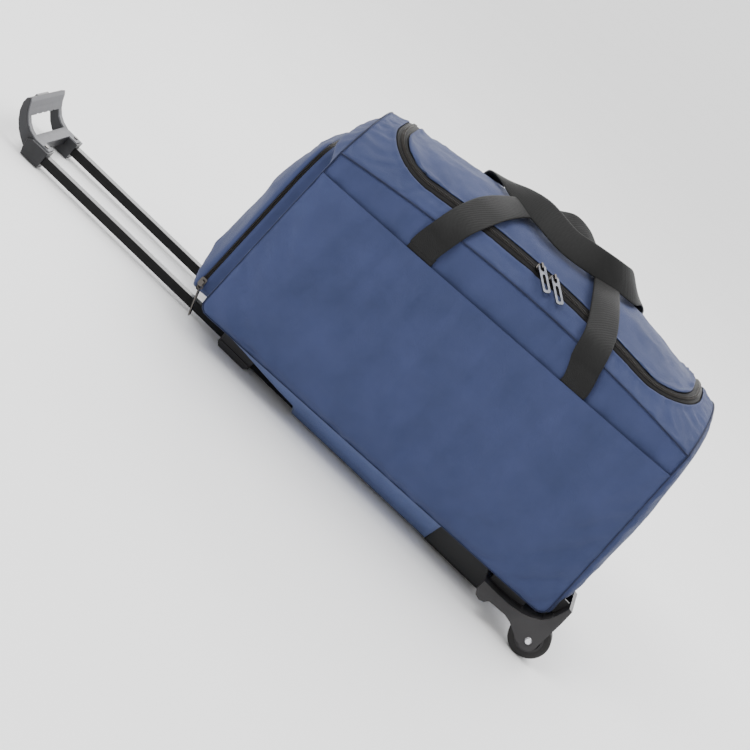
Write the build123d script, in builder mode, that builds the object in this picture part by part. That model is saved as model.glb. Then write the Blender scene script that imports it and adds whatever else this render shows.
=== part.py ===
from build123d import *
import math
import os

os.makedirs("parts", exist_ok=True)

# ---------------------------------------------------------------- driving dimensions (mm)
XC = 147.25          # bag centre along X in the row frame (the pulled-out grip is at -X)
HALF_D = 134.0       # half depth of the bag body
FABRIC = 2.5         # padded wall thickness
END_H, END_W = -271.0, 277.0      # X of the handle-end and wheel-end bottom corners
TOP_W = 259.0        # X of the wheel end's top corner (that end leans in)
BASE_H, BASE_W = 39.0, 59.0       # height of the base seam at each end
STATIONS = (-271.0, -135.0, 0.0, 130.0, 259.0)

POCKET_T = 6.5       # front pocket stands this far off the front panel
STRAP_W, STRAP_T = 36.0, 3.0      # carry webbing

TUBE_Y = 54.5        # centre of each rail
RAIL_Z = 13.0        # rail centre height
IN_W, IN_H, IN_T = 15.0, 12.0, 1.2      # inner tube
OUT_W, OUT_H, OUT_T = 18.4, 15.4, 1.3   # outer tube
MOUTH_X0, MOUTH_X1 = -232.0, -181.0     # mouth collar
SOCKET_X0, SOCKET_X1 = 117.0, 214.0     # rail socket at the wheel end

WHEEL_R = 26.5
WHEEL_X = 285.5
WHEEL_Y = 122.0      # centre of each wheel
WHEEL_W = 21.0
AXLE_R = 3.0
CHEEK_OUT, CHEEK_IN = 141.0, 135.0      # outer fork cheek
INNER_CHEEK = (102.0, 107.0)

GRIP_W = 124.0       # width over the grip's arms
ZIP_L, ZIP_R, ZIP_F, ZIP_B = -240.0, 228.0, -104.0, 92.0   # main zip centre line, plan view
ZIP_CORNER = 72.0
TAPE = 8.0           # half width of the zip band

POD_Y, POD_Z0, POD_Z1, POD_R = 112.0, 45.0, 287.0, 58.0     # end pocket outline
POD_X = (-273.5, -283.0, -297.0, -318.0)                    # gusset, zip, flap stations


def seam(x):
    """Height of the seam between a long side and the top: a shallow arch."""
    return 325.0 + 0.047 * x - 0.00025 * x * x


def crown(x):
    """How far the top rises above that seam along the middle."""
    return 57.0 - 0.022 * x - 0.00022 * x * x


def arc_radius(x):
    return (HALF_D ** 2 + crown(x) ** 2) / (2 * crown(x))


def top_z(x, y):
    """Height of the crowned top."""
    r = arc_radius(x)
    return seam(x) + crown(x) - r + math.sqrt(r * r - y * y)


def base(x):
    """Height of the base's underside: the bag stands a little higher over its wheels."""
    return BASE_H + (BASE_W - BASE_H) * (x - END_H) / (END_W - END_H)


def side(y):
    """Sketch plane seen from the front: local x is X, local y is Z, normal is -Y."""
    return Plane(origin=(XC, y, 0), x_dir=(1, 0, 0), z_dir=(0, -1, 0))


def cross(x):
    """Sketch plane across the bag: local x is Y, local y is Z, normal is +X."""
    return Plane(origin=(XC + x, 0, 0), x_dir=(0, 1, 0), z_dir=(1, 0, 0))


def flat(z):
    """Plan sketch plane."""
    return Plane(origin=(XC, 0, z), x_dir=(1, 0, 0), z_dir=(0, 0, 1))


def save(builder, name):
    builder.part.label = name
    export_step(builder.part, f"parts/{name}.step")


# ---------------------------------------------------------------- the crowned top, as layers
def cap(rise, low, stations=STATIONS, grow=0.0):
    """Solid under the crowned top raised by `rise`, reaching `low` below the seam."""
    half = HALF_D + grow
    with BuildPart() as p:
        for x in stations:
            with BuildSketch(cross(x)):
                with BuildLine():
                    a, b = (-half, seam(x) + rise), (half, seam(x) + rise)
                    ThreePointArc(a, (0, seam(x) + crown(x) + rise), b)
                    Polyline(b, (half, seam(x) - low), (-half, seam(x) - low), a)
                make_face()
        loft()
    return p.part


def layer(top, bottom):
    """Sheet that follows the crowned top between two offsets."""
    with BuildPart() as p:
        add(cap(top, 8.0))
        add(cap(bottom, 14.0), mode=Mode.SUBTRACT)
    return p.part


def zip_outline(grow, rear=ZIP_B):
    """The zip's D-shaped path in plan, grown outward by `grow`."""
    left, right, front = ZIP_L - grow, ZIP_R + grow, ZIP_F - grow
    with BuildPart() as p:
        with BuildSketch(flat(230.0)) as s:
            with Locations(((left + right) / 2, (front + rear) / 2)):
                Rectangle(right - left, rear - front)
            fillet(s.vertices().group_by(Axis.Y)[0], ZIP_CORNER + grow)
        extrude(amount=240.0)
    return p.part


skin = layer(0.0, -FABRIC)
tape_sheet = layer(-0.8, -1.9)
coil_sheet = layer(1.0, -0.8)

with BuildPart() as top_panel:
    add(skin)
    add(zip_outline(TAPE, ZIP_B + 0.6), mode=Mode.SUBTRACT)
save(top_panel, "top_panel")

with BuildPart() as lid_panel:
    add(skin)
    add(zip_outline(-TAPE), mode=Mode.INTERSECT)
save(lid_panel, "lid_panel")

with BuildPart() as main_zip_fixed_tape:
    add(tape_sheet)
    add(zip_outline(TAPE), mode=Mode.INTERSECT)
    add(zip_outline(0.3, ZIP_B + 5), mode=Mode.SUBTRACT)
with BuildPart() as fixed_coil:
    add(coil_sheet)
    add(zip_outline(2.6), mode=Mode.INTERSECT)
    add(zip_outline(0.3, ZIP_B + 5), mode=Mode.SUBTRACT)
with main_zip_fixed_tape:
    add(fixed_coil.part)
save(main_zip_fixed_tape, "main_zip_fixed_tape")

with BuildPart() as main_zip_lid_tape:
    add(tape_sheet)
    add(zip_outline(-0.3), mode=Mode.INTERSECT)
    add(zip_outline(-TAPE, ZIP_B + 5), mode=Mode.SUBTRACT)
with BuildPart() as lid_coil:
    add(coil_sheet)
    add(zip_outline(-0.3), mode=Mode.INTERSECT)
    add(zip_outline(-2.6, ZIP_B + 5), mode=Mode.SUBTRACT)
with main_zip_lid_tape:
    add(lid_coil.part)
save(main_zip_lid_tape, "main_zip_lid_tape")


# ---------------------------------------------------------------- long sides
def side_outline(inset=0.0, drop=0.0):
    """Front-view outline of the bag: sloping base, leaning wheel end, arched top."""
    e = inset
    left, right_b, right_t = END_H + e, END_W - e, TOP_W - e
    with BuildSketch(Plane.XY) as s:
        with BuildLine():
            tl = (left, seam(left) - e - drop)
            tr = (right_t, seam(right_t) - e - drop)
            Polyline(tl, (left, base(left) + e), (right_b, base(right_b) + e), tr)
            ThreePointArc(tr, (-6, seam(-6) - e - drop), tl)
        make_face()
    return s.sketch


for name, y in (("front_panel", -HALF_D + FABRIC), ("rear_panel", HALF_D)):
    with BuildPart() as wall:
        with BuildSketch(side(y)):
            add(side_outline(0.3, 3.2))
        extrude(amount=FABRIC)
    save(wall, name)

with BuildPart() as seam_piping:
    for y in (-HALF_D, HALF_D + 2.4):
        with BuildSketch(side(y)):
            add(side_outline(-0.2))
            add(side_outline(2.4), mode=Mode.SUBTRACT)
        extrude(amount=2.4)
save(seam_piping, "seam_piping")

# ---------------------------------------------------------------- ends and base
with BuildPart() as handle_end_panel:
    with BuildSketch(cross(END_H - FABRIC)):
        with BuildLine():
            h, z = HALF_D - 3.0, seam(END_H)
            Polyline((-h, z), (-h, BASE_H + 0.5), (h, BASE_H + 0.5), (h, z))
            ThreePointArc((h, z), (0, z + crown(END_H)), (-h, z))
        make_face()
    extrude(amount=FABRIC)
save(handle_end_panel, "handle_end_panel")

LEAN = math.atan2(END_W - TOP_W, seam(TOP_W) - BASE_W)
wheel_end = Plane(origin=(XC + END_W, 0, BASE_W), x_dir=(0, 1, 0),
                  z_dir=(math.cos(LEAN), 0, math.sin(LEAN)))
with BuildPart() as wheel_end_panel:
    with BuildSketch(wheel_end):
        with BuildLine():
            h = HALF_D - 3.0
            z = (seam(TOP_W) - BASE_W) / math.cos(LEAN)
            Polyline((-h, z), (-h, 0.5), (h, 0.5), (h, z))
            ThreePointArc((h, z), (0, z + crown(TOP_W)), (-h, z))
        make_face()
    extrude(amount=FABRIC)
    add(skin, mode=Mode.SUBTRACT)
save(wheel_end_panel, "wheel_end_panel")

SCREWS = [(x, y * TUBE_Y) for x in (-221.0, -192.0, 128.0, 204.0) for y in (-1, 1)]
RIVETS = [(x, y * 96.0) for x in (209.0, 246.0) for y in (-1, 1)]


def uprights(points, radius, z0, z1):
    """Vertical round bars at plan points, as holes or shanks."""
    with BuildPart() as p:
        with BuildSketch(flat(z0)):
            with Locations(*points):
                Circle(radius)
        extrude(amount=z1 - z0)
    return p.part


SLOPE = math.atan2(BASE_W - BASE_H, END_W - END_H)
base_plane = Plane(origin=(XC + END_H, 0, BASE_H), x_dir=(math.cos(SLOPE), 0, math.sin(SLOPE)),
                   z_dir=(-math.sin(SLOPE), 0, math.cos(SLOPE)))
BASE_L = (END_W - END_H) / math.cos(SLOPE)
with BuildPart() as base_panel:
    with BuildSketch(base_plane):
        with Locations((BASE_L / 2, 0)):
            Rectangle(BASE_L - 1.0, 2 * (HALF_D - 3.0))
    extrude(amount=2.0)
    add(uprights(SCREWS + RIVETS, 2.4, 20, 90), mode=Mode.SUBTRACT)
save(base_panel, "base_panel")

with BuildPart() as base_board:
    with BuildSketch(base_plane.offset(2.1)):
        with Locations((BASE_L / 2, 0)):
            RectangleRounded(BASE_L - 12.0, 2 * (HALF_D - 8.0), 18.0)
    extrude(amount=3.0)
    add(uprights(SCREWS + RIVETS, 2.4, 20, 90), mode=Mode.SUBTRACT)
save(base_board, "base_board")

# fabric sleeve that wraps the rails under the middle of the base
with BuildPart() as rail_sleeve:
    with BuildSketch(cross(-104.0)):
        with BuildLine():
            outer = [(-HALF_D + 6, 46), (-HALF_D + 6, 44), (-70, 2.0), (70, 2.0),
                     (HALF_D - 6, 44), (HALF_D - 6, 46)]
            inner = [(HALF_D - 9.2, 46), (69, 3.6), (-69, 3.6), (-HALF_D + 9.2, 46)]
            Polyline(outer + inner, close=True)
        make_face()
    with BuildSketch(cross(117.0)):
        with BuildLine():
            rise = base(117.0) - base(-104.0)
            outer = [(y, z + (rise if z > 40 else 1.0)) for y, z in outer]
            inner = [(y, z + (rise if z > 40 else 1.0)) for y, z in inner]
            Polyline(outer + inner, close=True)
        make_face()
    loft(ruled=True)
    with BuildSketch(base_plane.offset(-0.1)):
        with Locations((BASE_L / 2, 0)):
            Rectangle(BASE_L, 400)
    extrude(amount=40, mode=Mode.SUBTRACT)
save(rail_sleeve, "rail_sleeve")


# ---------------------------------------------------------------- front slip pocket
def pocket_edge(x):
    """Height of the pocket's open top edge."""
    return 264.0 + 0.05 * (x + 260.0)


def pocket_outline(inset, top):
    x0, x1 = END_H + 2.6 + inset, END_W - 4.0 - inset
    x2 = x1 - (pocket_edge(x1) - BASE_W) * math.tan(LEAN)
    with BuildSketch(Plane.XY) as s:
        Polygon((x0, base(x0) + 2.6 + inset), (x1, base(x1) + 2.6 + inset),
                (x2, pocket_edge(x2) + top), (x0, pocket_edge(x0) + top), align=None)
    return s.sketch


with BuildPart() as front_pocket:
    with BuildSketch(side(-HALF_D - 0.05)):
        add(pocket_outline(0.0, 0.0))
    extrude(amount=POCKET_T)
    with BuildSketch(side(-HALF_D)):
        add(pocket_outline(1.8, 5.0))
    extrude(amount=POCKET_T - 1.7, mode=Mode.SUBTRACT)
save(front_pocket, "front_pocket")

# ---------------------------------------------------------------- carry straps
LEG_L, LEG_R = -124.0, 110.0        # X of the two legs where they are sewn on
FRONT_LOOP = [(LEG_L, -160), (LEG_L, -132), (-104, -92), (-78, -45), (-50, -8), (-12, 14),
              (18, 12), (44, -12), (61, -45), (86, -98), (LEG_R, -132), (LEG_R, -160)]
REAR_LOOP = [(LEG_L, 160), (LEG_L, 132), (-123, 60), (-108, 12), (-68, -26), (-20, -48),
             (14, -48), (54, -28), (92, 6), (LEG_R, 60), (LEG_R, 132), (LEG_R, 160)]
STRAP_STATIONS = (-170.0, -85.0, 0.0, 85.0, 170.0)


def webbing_plan(points):
    """Plan view of a webbing loop: its centre line given the webbing's width."""
    with BuildSketch(Plane.XY) as plan:
        with BuildLine():
            Line(points[0], points[1])
            Spline(points[1:-1], tangents=[(0, points[1][1] - points[0][1]),
                                           (0, points[-1][1] - points[-2][1])])
            Line(points[-2], points[-1])
        trace(line_width=STRAP_W)
    return plan.sketch


def strap(points, lift, off):
    """Webbing loop `lift` above the crowned top that hangs `off` outside one long side."""
    with BuildPart() as p:
        with BuildSketch(flat(200.0)):
            add(webbing_plan(points))
        extrude(amount=300.0)
        add(cap(lift + STRAP_T, 120.0, STRAP_STATIONS, off + STRAP_T), mode=Mode.INTERSECT)
        add(cap(lift, 140.0, STRAP_STATIONS, off), mode=Mode.SUBTRACT)
        with BuildSketch(side(300.0)):
            Polygon((-400, 100), (400, 100), (400, pocket_edge(400) + 3.0),
                    (-400, pocket_edge(-400) + 3.0), align=None)
        extrude(amount=600.0, mode=Mode.SUBTRACT)
    return p.part


with BuildPart() as front_handle_webbing:
    add(strap(FRONT_LOOP, 4.0, 4.0))
save(front_handle_webbing, "front_handle_webbing")

with BuildPart() as rear_handle_webbing:
    add(strap(REAR_LOOP, 8.5, 5.0))
save(rear_handle_webbing, "rear_handle_webbing")

for name, y in (("front_strap_tails", -HALF_D - 0.1), ("rear_strap_tails", HALF_D + 0.1 + 2.6)):
    with BuildPart() as tails:
        with BuildSketch(side(y)):
            for x in (LEG_L, LEG_R):
                with Locations((x, pocket_edge(x) - 19.0)):
                    Rectangle(STRAP_W, 42.0)
        extrude(amount=2.6)
    save(tails, name)


# ---------------------------------------------------------------- end pocket
def pod_outline(inset):
    """Rounded-top outline of the end pocket, seen from the handle end."""
    with BuildSketch(Plane.XY) as s:
        with Locations((0, (POD_Z0 + POD_Z1) / 2)):
            Rectangle(2 * POD_Y, POD_Z1 - POD_Z0)
        fillet(s.vertices().group_by(Axis.Y)[-1], POD_R)
        if inset:
            offset(amount=-inset, mode=Mode.REPLACE)
    return s.sketch


def pod_ring(x0, x1, outer, inner):
    """Band that follows the pocket outline between two X stations."""
    with BuildPart() as p:
        with BuildSketch(cross(x1)):
            add(pod_outline(outer))
            add(pod_outline(inner), mode=Mode.SUBTRACT)
        extrude(amount=x0 - x1)
    return p.part


with BuildPart() as end_pocket_gusset:
    add(pod_ring(POD_X[0], POD_X[1], 0, 2.2))
save(end_pocket_gusset, "end_pocket_gusset")

ZIP_MID = (POD_X[1] + POD_X[2]) / 2
with BuildPart() as end_zip_fixed_tape:
    add(pod_ring(POD_X[1], ZIP_MID + 0.3, 0.6, 1.8))
    add(pod_ring(ZIP_MID + 2.4, ZIP_MID + 0.3, -1.0, 0.6))
    with BuildSketch(cross(-300)):
        with Locations((0, POD_Z0 - 20 + 3)):
            Rectangle(300, 40)
    extrude(amount=40, mode=Mode.SUBTRACT)
save(end_zip_fixed_tape, "end_zip_fixed_tape")

with BuildPart() as end_zip_flap_tape:
    add(pod_ring(ZIP_MID - 0.3, POD_X[2], 0.6, 1.8))
    add(pod_ring(ZIP_MID - 0.3, ZIP_MID - 2.4, -1.0, 0.6))
    with BuildSketch(cross(-300)):
        with Locations((0, POD_Z0 - 20 + 3)):
            Rectangle(300, 40)
    extrude(amount=40, mode=Mode.SUBTRACT)
save(end_zip_flap_tape, "end_zip_flap_tape")

with BuildPart() as end_pocket_flap:
    with BuildSketch(cross(POD_X[2])):
        add(pod_outline(0))
    extrude(amount=POD_X[3] - POD_X[2], taper=52)
    with BuildSketch(cross(POD_X[2])):
        add(pod_outline(2.2))
    extrude(amount=POD_X[3] - POD_X[2] + 2.2, taper=52, mode=Mode.SUBTRACT)
save(end_pocket_flap, "end_pocket_flap")


# ---------------------------------------------------------------- trolley rails
def bar(x0, x1, y0, y1, z0, z1):
    """Plain box between two corners, in bag coordinates."""
    with BuildPart() as p:
        with BuildSketch(flat(z0)):
            with Locations(((x0 + x1) / 2, (y0 + y1) / 2)):
                Rectangle(x1 - x0, y1 - y0)
        extrude(amount=z1 - z0)
    return p.part


def tube(x0, x1, y, w, h, t, r):
    """Rounded rectangular tube along X."""
    with BuildPart() as p:
        with BuildSketch(cross(x0)):
            with Locations((y, RAIL_Z)):
                RectangleRounded(w, h, r)
                RectangleRounded(w - 2 * t, h - 2 * t, max(r - t, 0.4), mode=Mode.SUBTRACT)
        extrude(amount=x1 - x0)
    return p.part


PIN_X = -158.0
TRAVEL = 280.0
OUT_X0, OUT_X1 = -228.0, 205.0
IN_X0, IN_X1 = -556.0, -149.0
SIDES = (("front", -1), ("rear", 1))

for name, s in SIDES:
    y = s * TUBE_Y
    with BuildPart() as outer_tube:
        add(tube(OUT_X0, OUT_X1, y, OUT_W, OUT_H, OUT_T, 2.0))
        add(uprights([(PIN_X, y), (PIN_X + TRAVEL, y)], 2.8, 0, 8), mode=Mode.SUBTRACT)
    save(outer_tube, f"{name}_outer_tube")

    with BuildPart() as inner_tube:
        add(tube(IN_X0, IN_X1, y, IN_W, IN_H, IN_T, 1.6))
        add(uprights([(PIN_X, y)], 2.6, 0, 9), mode=Mode.SUBTRACT)
    save(inner_tube, f"{name}_inner_tube")

    with BuildPart() as mouth_collar:
        with BuildSketch(side(y + 13.5)):
            Polygon((MOUTH_X0, 3.4), (MOUTH_X1, 3.4), (MOUTH_X1, base(MOUTH_X1) - 0.3),
                    (MOUTH_X0, base(MOUTH_X0) - 0.3), align=None)
        extrude(amount=27.0)
        fillet(mouth_collar.edges().filter_by(Axis.Z).group_by(Axis.X)[0], 3.0)
        with BuildSketch(cross(OUT_X0)):
            with Locations((y, RAIL_Z)):
                RectangleRounded(OUT_W, OUT_H, 2.0)
        extrude(amount=60, mode=Mode.SUBTRACT)
        with BuildSketch(cross(MOUTH_X0 - 1)):
            with Locations((y, RAIL_Z)):
                RectangleRounded(IN_W + 0.8, IN_H + 0.8, 2.0)
        extrude(amount=20, mode=Mode.SUBTRACT)
        add(uprights(SCREWS, 2.0, 24.0, 60), mode=Mode.SUBTRACT)
    save(mouth_collar, f"{name}_mouth_collar")

    with BuildPart() as rail_socket:
        with BuildSketch(side(y + 17.0)):
            Polygon((SOCKET_X0 + 0.3, 4.6), (SOCKET_X1, 4.6), (SOCKET_X1, base(SOCKET_X1) - 0.3),
                    (SOCKET_X0 + 0.3, base(SOCKET_X0) - 0.3), align=None)
        extrude(amount=34.0)
        fillet(rail_socket.edges().filter_by(Axis.Y).group_by(Axis.Z)[0], 2.0)
        fillet(rail_socket.edges().filter_by(Axis.X).group_by(Axis.Z)[0], 3.0)
        with BuildSketch(cross(SOCKET_X0 - 1)):
            with Locations((y, RAIL_Z)):
                RectangleRounded(OUT_W, OUT_H, 2.0)
        extrude(amount=OUT_X1 - SOCKET_X0 + 1, mode=Mode.SUBTRACT)
        add(uprights(SCREWS, 2.0, 30.0, 80), mode=Mode.SUBTRACT)
    save(rail_socket, f"{name}_rail_socket")

with BuildPart() as feet:
    for _, s in SIDES:
        with BuildSketch(side(s * TUBE_Y + 15.5)):
            Polygon((-230.5, 8), (-230.5, 3.5), (-227, 0), (-186, 0), (-182.5, 3.5), (-182.5, 8),
                    align=None)
        extrude(amount=31.0)
        with BuildSketch(side(s * TUBE_Y + 13.5)):
            Polygon((-240, 3.4), (-170, 3.4), (-170, 12), (-240, 12), align=None)
        extrude(amount=27.0, mode=Mode.SUBTRACT)
save(feet, "feet")

# ---------------------------------------------------------------- wheel brackets
CRADLE = [(198, 43), (219, 42.5), (238, 43), (256, 46), (267, 50), (278.2, 57), (285, 67),
          (289, 80), (290.6, 86), (291.6, 91)]
UNDER = [(296.8, 90), (295.2, 86), (292.8, 79), (288.2, 65.2), (279.4, 54.2), (268.6, 46.8),
         (256.8, 42.4), (238.3, 39.4), (219, 38.9), (198, 39.4)]
CHEEK = CRADLE + [(296.8, 90), (297.8, 70), (297.8, 55), (297.6, 29), (277, 15.5), (254, 27.5),
                  (244, 30), (219, 28.5), (215, 23), (209, 21), (202, 23), (198, 29)]
INNER = [(232, 40), (256, 44), (267, 48), (278, 55.5), (286, 67), (290, 78), (295.5, 78),
         (297.5, 55), (297.6, 29), (277, 15.5), (254, 28), (232, 31)]


def slab(points, y0, y1, hub=False):
    """Plate cut to a side-view outline between two Y planes."""
    with BuildPart() as p:
        with BuildSketch(side(max(y0, y1))):
            Polygon(*points, align=None)
            if hub:
                with Locations((WHEEL_X, WHEEL_R)):
                    Circle(12.5)
        extrude(amount=abs(y1 - y0))
    return p.part


def drum(radius, y0, y1, x=WHEEL_X, z=WHEEL_R):
    """Round bar along Y."""
    with BuildPart() as p:
        with BuildSketch(side(max(y0, y1))):
            with Locations((x, z)):
                Circle(radius)
        extrude(amount=abs(y1 - y0))
    return p.part


for name, s in SIDES:
    with BuildPart() as wheel_bracket:
        add(slab(CHEEK, s * CHEEK_IN, s * CHEEK_OUT, hub=True))
        add(slab(CRADLE + UNDER, s * (TUBE_Y + 17.0), s * CHEEK_IN))
        add(slab(INNER, s * INNER_CHEEK[0], s * INNER_CHEEK[1], hub=True))
        for y in (84.0, 116.0):
            add(slab([(203, 42), (238, 42), (254, 45), (254, base(254) - 0.3),
                      (203, base(203) - 0.3)], s * y, s * (y + 4)))
            add(slab([(280.2, 68), (286, 66), (289.6, 80), (291.2, 89), (278.8, 89)],
                     s * y, s * (y + 4)))
        add(drum(WHEEL_R + 1.6, s * INNER_CHEEK[1], s * CHEEK_IN), mode=Mode.SUBTRACT)
        add(drum(AXLE_R, s * 95, s * 150), mode=Mode.SUBTRACT)
        add(uprights(RIVETS, 2.0, 30, 50), mode=Mode.SUBTRACT)
    save(wheel_bracket, f"{name}_wheel_bracket")

    y0, y1 = s * (WHEEL_Y - WHEEL_W / 2), s * (WHEEL_Y + WHEEL_W / 2)
    with BuildPart() as tyre:
        add(drum(WHEEL_R, y0, y1))
        fillet(tyre.edges().filter_by(GeomType.CIRCLE), 4.0)
        add(drum(18.0, y0, y1), mode=Mode.SUBTRACT)
    save(tyre, f"{name}_tyre")

    with BuildPart() as hub:
        add(drum(18.0, y0 + s * 0.4, y1 - s * 0.4))
        for a, b in ((y0, y0 + s * 4.4), (y1, y1 - s * 4.4)):
            add(drum(15.0, a, b), mode=Mode.SUBTRACT)
            add(drum(7.0, a + (b - a) * 0.12, b))
        add(drum(AXLE_R + 0.05, y0, y1), mode=Mode.SUBTRACT)
    save(hub, f"{name}_hub")

with BuildPart() as wheel_axles:
    for _, s in SIDES:
        add(drum(AXLE_R, s * 101.0, s * 142.0))
        add(drum(4.8, s * 100.0, s * 101.9))
        with BuildSketch(Plane(origin=(XC + WHEEL_X, s * 141.1, WHEEL_R), x_dir=(1, 0, 0),
                               z_dir=(0, s, 0))):
            Circle(4.8)
        extrude(amount=2.0, taper=35)
save(wheel_axles, "wheel_axles")

with BuildPart() as wheel_washers:
    for _, s in SIDES:
        for a, b in ((107.1, 111.2), (132.8, 134.9)):
            add(drum(6.4, s * a, s * b))
            add(drum(AXLE_R + 0.1, s * a, s * b), mode=Mode.SUBTRACT)
save(wheel_washers, "wheel_washers")

with BuildPart() as base_screws:
    for x, y in SCREWS:
        top = base(x) + 5.6
        add(uprights([(x, y)], 2.0, top - 18.0, top + 0.1))
        add(uprights([(x, y)], 4.2, top, top + 2.2))
save(base_screws, "base_screws")

with BuildPart() as bracket_rivets:
    for x, y in RIVETS:
        top = base(x) + 5.6
        under = 38.7 if x < 230 else 39.6
        add(uprights([(x, y)], 2.0, under, top + 0.1))
        add(uprights([(x, y)], 4.5, under - 1.8, under - 0.1))
        add(uprights([(x, y)], 4.5, top, top + 1.6))
save(bracket_rivets, "bracket_rivets")

# ---------------------------------------------------------------- grip
G_OUT = [(-540, 2), (-560, 2), (-566, 8.5), (-570, 10), (-578, 15), (-586, 21), (-594, 30),
         (-600, 40), (-603, 50), (-602.5, 57.5), (-599.5, 60)]
G_IN = [(-597, 56.5), (-593.5, 48), (-588.5, 40), (-582, 33), (-574, 28), (-563, 24.5),
        (-540, 24.5)]
G_FACE = [(-540, 26.2), (-562.6, 26.2), (-573.2, 29.6), (-580.9, 34.4), (-587.1, 41),
          (-591.9, 48.7), (-595.4, 57.2), (-598.6, 61.2)]

with BuildPart() as window:
    add(slab([(-567, -5), (-567, 42), (-581, 42), (-606, 37), (-606, -5)], -50, 50))
    add(slab([(-553, -5), (-530, -5), (-530, 40), (-553, 40)], -43, 43))
    add(slab([(-568, -5), (-552, -5), (-552, 12), (-568, 12)], -43, 43))
    for y in (-28.5, -9.5, 9.5, 28.5):
        with BuildSketch(cross(-610.0)):
            with Locations((y, 30.5)):
                Circle(11.0)
        extrude(amount=35.0)

with BuildPart() as grip_body:
    with BuildSketch(side(GRIP_W / 2)):
        Polygon(*G_OUT, *G_IN, align=None)
    extrude(amount=GRIP_W)
    for _, s in SIDES:
        add(slab([(-565, 1), (-538, 1), (-538, 24.5), (-563, 24.5), (-570, 22), (-568, 9)],
                 s * 43, s * 66))
    fillet(grip_body.faces().filter_by(Axis.Y).sort_by(Axis.Y)[-1].edges(), 1.2)
    fillet(grip_body.faces().filter_by(Axis.Y).sort_by(Axis.Y)[0].edges(), 1.2)
    add(window.part, mode=Mode.SUBTRACT)
    for _, s in SIDES:
        with BuildSketch(cross(IN_X0)):
            with Locations((s * TUBE_Y, RAIL_Z)):
                RectangleRounded(IN_W, IN_H, 1.6)
        extrude(amount=30, mode=Mode.SUBTRACT)
    add(bar(-610, -596.4, -20.5, 20.5, 46.3, 56.7), mode=Mode.SUBTRACT)
    add(uprights([(-547.0, -TUBE_Y), (-547.0, TUBE_Y)], 1.6, 19, 30), mode=Mode.SUBTRACT)
save(grip_body, "grip_body")

with BuildPart() as grip_face:
    with BuildSketch(side(60.0)):
        Polygon((-599.5, 60), *G_IN, *G_FACE, align=None)
    extrude(amount=120.0)
    add(window.part, mode=Mode.SUBTRACT)
    add(uprights([(-547.0, -TUBE_Y), (-547.0, TUBE_Y)], 1.6, 19, 30), mode=Mode.SUBTRACT)
save(grip_face, "grip_face")

with BuildPart() as release_button:
    add(bar(-606.5, -600.4, -20.0, 20.0, 46.8, 56.2))
    fillet(release_button.edges().group_by(Axis.X)[0], 1.6)
save(release_button, "release_button")

with BuildPart() as push_rods:
    for _, s in SIDES:
        with BuildSketch(cross(-552.0)):
            with Locations((s * TUBE_Y, RAIL_Z)):
                Circle(1.6)
        extrude(amount=552.0 - 175.0)
save(push_rods, "push_rods")

with BuildPart() as lock_blocks:
    for _, s in SIDES:
        y = s * TUBE_Y
        add(bar(-170.0, -148.9, y - 6.0, y + 6.0, 8.5, 17.5))
        add(bar(-148.9, -144.0, y - 7.4, y + 7.4, 7.1, 18.9))
        add(uprights([(PIN_X, y)], 2.45, 0, 17.0), mode=Mode.SUBTRACT)
save(lock_blocks, "lock_blocks")

with BuildPart() as lock_pins:
    add(uprights([(PIN_X, -TUBE_Y), (PIN_X, TUBE_Y)], 2.4, 7.05, 12.6))
save(lock_pins, "lock_pins")

with BuildPart() as lock_springs:
    for _, s in SIDES:
        with BuildLine():
            Helix(1.3, 3.4, 1.7, center=(XC + PIN_X, s * TUBE_Y, 13.05))
        with BuildSketch(Plane(origin=(XC + PIN_X + 1.7, s * TUBE_Y, 13.05), x_dir=(1, 0, 0),
                               z_dir=(0, -1, 0))):
            Circle(0.3)
        sweep()
save(lock_springs, "lock_springs")

with BuildPart() as grip_screws:
    for _, s in SIDES:
        add(uprights([(-547.0, s * TUBE_Y)], 1.5, 19.2, 26.4))
        add(uprights([(-547.0, s * TUBE_Y)], 2.8, 26.3, 27.6))
save(grip_screws, "grip_screws")

# ---------------------------------------------------------------- zip sliders and pulls
DIP = math.asin(-ZIP_F / arc_radius(0))      # slope of the top at the zip
NORMAL = (0.0, -math.sin(DIP), math.cos(DIP))


def on_zip(x, up, turn=0.0):
    """Plane tangent to the top at the zip's front run, `up` above the fabric, turned about
    its own normal by `turn` degrees."""
    z = top_z(x, ZIP_F)
    c, d = math.cos(math.radians(turn)), math.sin(math.radians(turn))
    return Plane(origin=(XC + x, ZIP_F + NORMAL[1] * up, z + NORMAL[2] * up),
                 x_dir=(c, d * math.cos(DIP), d * math.sin(DIP)), z_dir=NORMAL)


def slider(plane, arch, w=9.0, length=12.0, t=3.0):
    """Zip slider on `plane`; its arch, which holds the pull, runs along `arch`'s own X."""
    with BuildPart() as p:
        with BuildSketch(plane):
            RectangleRounded(length, w, 2.4)
        extrude(amount=t)
        with BuildSketch(arch.offset(t - 0.1)):
            with Locations((-5.0, 0), (0.4, 0)):
                Rectangle(1.2, 2.4)
        extrude(amount=3.6)
        with BuildSketch(arch.offset(t + 3.4)):
            with Locations((-2.3, 0)):
                Rectangle(6.6, 2.4)
        extrude(amount=1.3)
    return p.part


def pull(plane, length=37.0, w=10.0, t=1.6):
    """Flat metal pull with an eye and a long slot; it points along local +X."""
    with BuildPart() as p:
        with BuildSketch(plane):
            with Locations((length / 2 - 3.4, 0)):
                RectangleRounded(length, w, 3.4)
            with Locations((length / 2 + 1.0, 0)):
                SlotOverall(length - 16.0, 4.2, mode=Mode.SUBTRACT)
            with Locations((2.0, 0)):
                SlotOverall(6.6, 4.4, mode=Mode.SUBTRACT)
        extrude(amount=t)
    return p.part


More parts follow.
